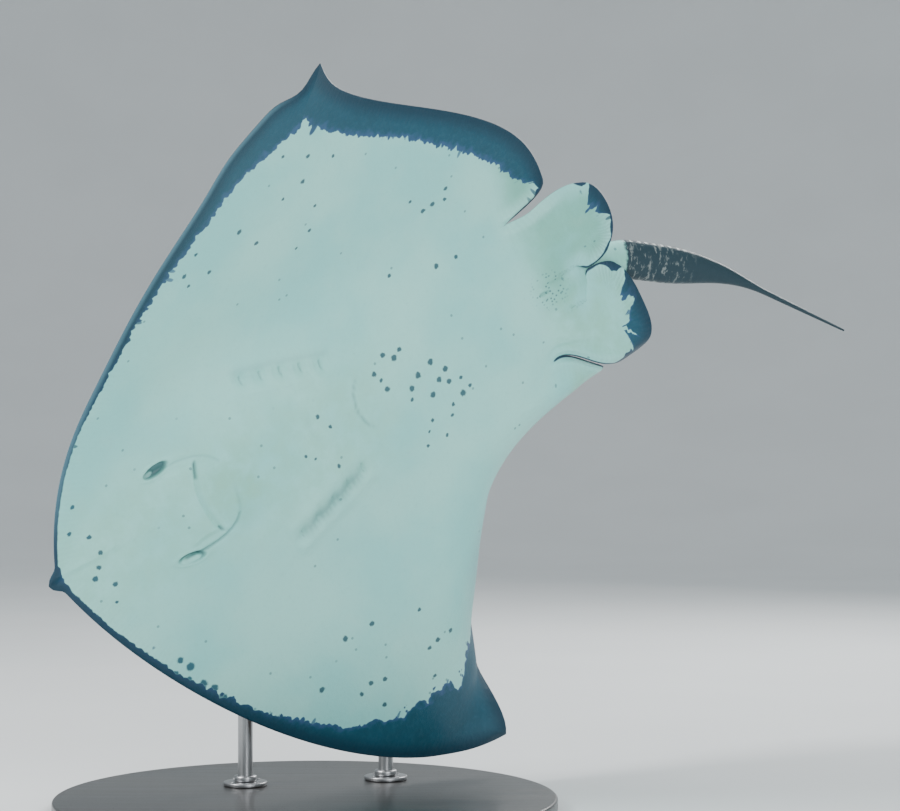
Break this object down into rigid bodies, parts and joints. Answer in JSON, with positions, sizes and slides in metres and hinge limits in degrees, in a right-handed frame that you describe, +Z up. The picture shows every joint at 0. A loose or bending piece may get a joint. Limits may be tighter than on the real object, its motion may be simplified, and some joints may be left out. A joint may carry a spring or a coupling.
{
  "type": "stingray display model",
  "caption": "Life-size stingray banking with its belly to the viewer, rear wing curled, held from behind by bent rods on a round flat base.",
  "frame": {"origin": "centre of the round base's underside, on the floor", "axes": "+Z up; -Y is the side that the belly faces; the tail points towards +X and the snout towards -X"},
  "size_m": [1.8305, 1.304, 1.5789],
  "materials": {
    "skin": "moist smooth skin, pale below with a slate margin, grey-brown above",
    "sting": "ivory, serrated",
    "eye": "glossy dark eye",
    "stand_wood": "satin black lacquer",
    "stand_steel": "satin dark grey"
  },
  "bodies": {
    "root": {"head": "skin", "trunk": "skin", "wing_left": "skin", "wing_right": "skin", "pelvic_fin_left": "skin", "pelvic_fin_right": "skin", "tail_base": "skin", "tail_middle": "skin", "tail_tip": "skin", "sting": "sting", "eye_left": "eye", "eye_right": "eye", "stand_base": "stand_wood", "stand_rod_front": "stand_steel", "stand_rod_rear": "stand_steel"}
  },
  "joints": []
}
